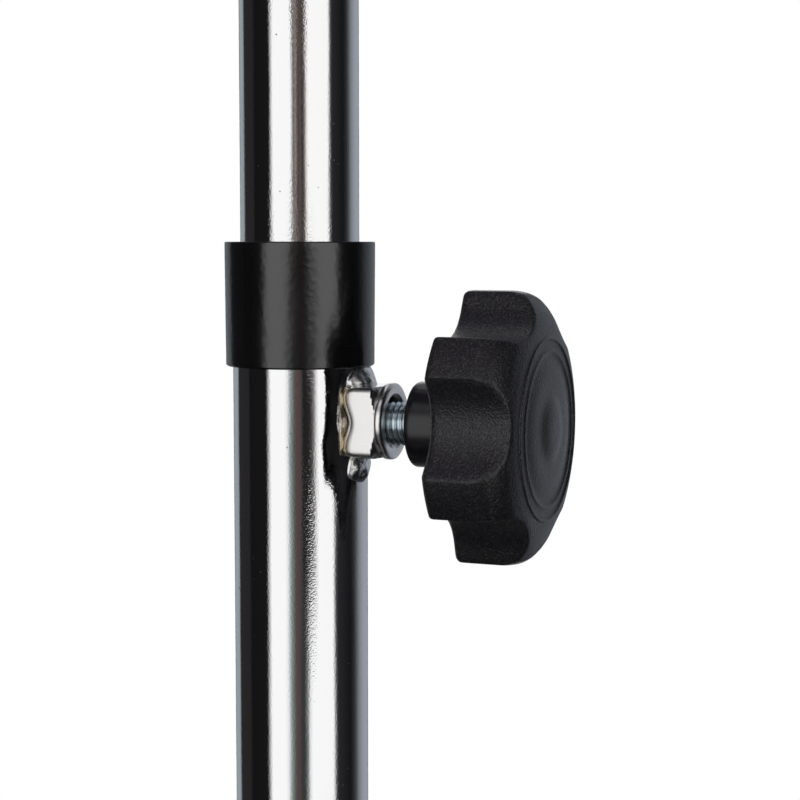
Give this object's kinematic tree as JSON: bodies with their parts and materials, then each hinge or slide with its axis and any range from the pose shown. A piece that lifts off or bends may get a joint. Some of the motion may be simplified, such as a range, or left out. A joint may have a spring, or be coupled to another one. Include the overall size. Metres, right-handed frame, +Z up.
{
  "type": "music stand",
  "caption": "Folding orchestra music stand: telescopic chrome column with a star-knob screw clamp, tilting slotted desk and fold-up tripod.",
  "frame": {"origin": "centre of the whole stand's footprint box, on the floor", "axes": "+Z up along the column; -Y is the player's side, which the desk faces; +X is the side of the clamp and tilt knobs"},
  "size_m": [0.533, 0.4649, 1.1839],
  "materials": {
    "chrome": "polished chromium plate over drawn steel tube, fine lengthwise draw marks and a few pits",
    "zinc": "bright blue-white zinc plate on fasteners",
    "rivet_steel": "plain bright steel rivets, satin",
    "strut_steel": "zinc-plated pressed steel, satin",
    "black_plastic": "glass-filled black polyamide, finely grained, glossier on turned stems",
    "desk_paint": "black fine-texture powder coat",
    "rubber": "matt moulded black rubber",
    "nylon": "natural nylon, satin",
    "fibre": "red-brown pressed fibre friction washers, matt"
  },
  "bodies": {
    "column": {"column_tube": "chrome", "column_ferrule": "black_plastic", "clamp_nut": "chrome", "column_end_plug": "black_plastic", "base_hub": "black_plastic", "hub_pin_1": "rivet_steel", "hub_pin_2": "rivet_steel", "hub_pin_3": "rivet_steel"},
    "mast_carrier": {"guide_bush": "nylon"},
    "mast": {"mast_tube": "chrome", "tilt_head": "black_plastic", "friction_washer_left": "fibre", "friction_washer_right": "fibre"},
    "clamp_pad": {"clamp_pad": "nylon"},
    "clamp_knob": {"clamp_screw": "zinc", "clamp_knob": "black_plastic"},
    "desk": {"desk_plate": "desk_paint", "desk_bracket": "desk_paint", "desk_rivet_1": "rivet_steel", "desk_rivet_2": "rivet_steel", "desk_rivet_3": "rivet_steel", "desk_rivet_4": "rivet_steel", "tilt_bolt": "zinc"},
    "tilt_washer": {"tilt_washer": "zinc"},
    "tilt_knob": {"tilt_knob": "black_plastic"},
    "leg_collar": {"leg_collar": "black_plastic", "collar_insert": "zinc", "collar_pin_1": "rivet_steel", "collar_pin_2": "rivet_steel", "collar_pin_3": "rivet_steel"},
    "collar_pad": {"collar_pad": "nylon"},
    "collar_knob": {"collar_screw": "zinc", "collar_knob": "black_plastic"},
    "strut_1": {"strut_1": "strut_steel"},
    "leg_1": {"leg_1": "chrome", "strut_pin_1": "rivet_steel", "foot_1": "rubber"},
    "strut_2": {"strut_2": "strut_steel"},
    "leg_2": {"leg_2": "chrome", "strut_pin_2": "rivet_steel", "foot_2": "rubber"},
    "strut_3": {"strut_3": "strut_steel"},
    "leg_3": {"leg_3": "chrome", "strut_pin_3": "rivet_steel", "foot_3": "rubber"}
  },
  "joints": [
    {"name": "mast_slide", "type": "slide", "parent": "column", "child": "mast_carrier", "axis": [0, 0, 1], "range_m": [-0.16, 0.35]},
    {"name": "mast_swivel", "type": "hinge", "parent": "mast_carrier", "child": "mast", "pos_m": [0, 0.074, 0.2], "axis": [0, 0, 1], "continuous": true},
    {"name": "clamp_advance", "type": "slide", "parent": "column", "child": "clamp_pad", "axis": [1, 0, 0], "range_m": [0, 0.00251]},
    {"name": "clamp_turn", "type": "hinge", "parent": "clamp_pad", "child": "clamp_knob", "pos_m": [0.0235, 0.074, 0.667], "axis": [1, 0, 0], "range_deg": [0, 720]},
    {"name": "desk_tilt", "type": "hinge", "parent": "mast", "child": "desk", "pos_m": [0, 0.074, 0.95], "axis": [1, 0, 0], "range_deg": [-65, 20]},
    {"name": "tilt_release", "type": "slide", "parent": "desk", "child": "tilt_washer", "axis": [1, 0, 0], "range_m": [0, 0.00101]},
    {"name": "tilt_turn", "type": "hinge", "parent": "tilt_washer", "child": "tilt_knob", "pos_m": [0.0111, 0.074, 0.95], "axis": [1, 0, 0], "range_deg": [0, 360]},
    {"name": "leg_fold", "type": "hinge", "parent": "column", "child": "strut_1", "pos_m": [0, 0.048, 0.03], "axis": [-1, 0, 0], "range_deg": [0, 51]},
    {"name": "leg_1_turn", "type": "hinge", "parent": "strut_1", "child": "leg_1", "pos_m": [0, -0.07078, 0.11317], "axis": [-1, 0, 0], "range_deg": [-102.1, 0.1]},
    {"name": "collar_lift", "type": "hinge", "parent": "leg_1", "child": "leg_collar", "pos_m": [0, 0.048, 0.19634], "axis": [-1, 0, 0], "range_deg": [-0.1, 51.1]},
    {"name": "collar_advance", "type": "slide", "parent": "leg_collar", "child": "collar_pad", "axis": [0, 1, 0], "range_m": [0, 0.00201]},
    {"name": "collar_clamp_turn", "type": "hinge", "parent": "collar_pad", "child": "collar_knob", "pos_m": [0, 0.0975, 0.21634], "axis": [0, 1, 0], "range_deg": [0, 720]},
    {"name": "strut_2_turn", "type": "hinge", "parent": "column", "child": "strut_2", "pos_m": [0.02252, 0.087, 0.03], "axis": [0.5, -0.866, 0], "range_deg": [-0.1, 51.1]},
    {"name": "leg_2_turn", "type": "hinge", "parent": "strut_2", "child": "leg_2", "pos_m": [0.12538, 0.14639, 0.11317], "axis": [0.5, -0.866, 0], "range_deg": [-102.1, 0.1]},
    {"name": "strut_3_turn", "type": "hinge", "parent": "column", "child": "strut_3", "pos_m": [-0.02252, 0.087, 0.03], "axis": [0.5, 0.866, 0], "range_deg": [-0.1, 51.1]},
    {"name": "leg_3_turn", "type": "hinge", "parent": "strut_3", "child": "leg_3", "pos_m": [-0.12538, 0.14639, 0.11317], "axis": [0.5, 0.866, 0], "range_deg": [-102.1, 0.1]}
  ],
  "couplings": [
    {"joint": "clamp_advance", "follows": "clamp_turn", "m_per_rad": 0.00019894},
    {"joint": "tilt_release", "follows": "tilt_turn", "m_per_rad": 0.00015915},
    {"joint": "collar_advance", "follows": "collar_clamp_turn", "m_per_rad": 0.00015915},
    {"joint": "leg_1_turn", "follows": "leg_fold", "ratio": -2},
    {"joint": "collar_lift", "follows": "leg_fold", "ratio": 1},
    {"joint": "strut_2_turn", "follows": "leg_fold", "ratio": 1},
    {"joint": "leg_2_turn", "follows": "leg_fold", "ratio": -2},
    {"joint": "strut_3_turn", "follows": "leg_fold", "ratio": 1},
    {"joint": "leg_3_turn", "follows": "leg_fold", "ratio": -2}
  ]
}
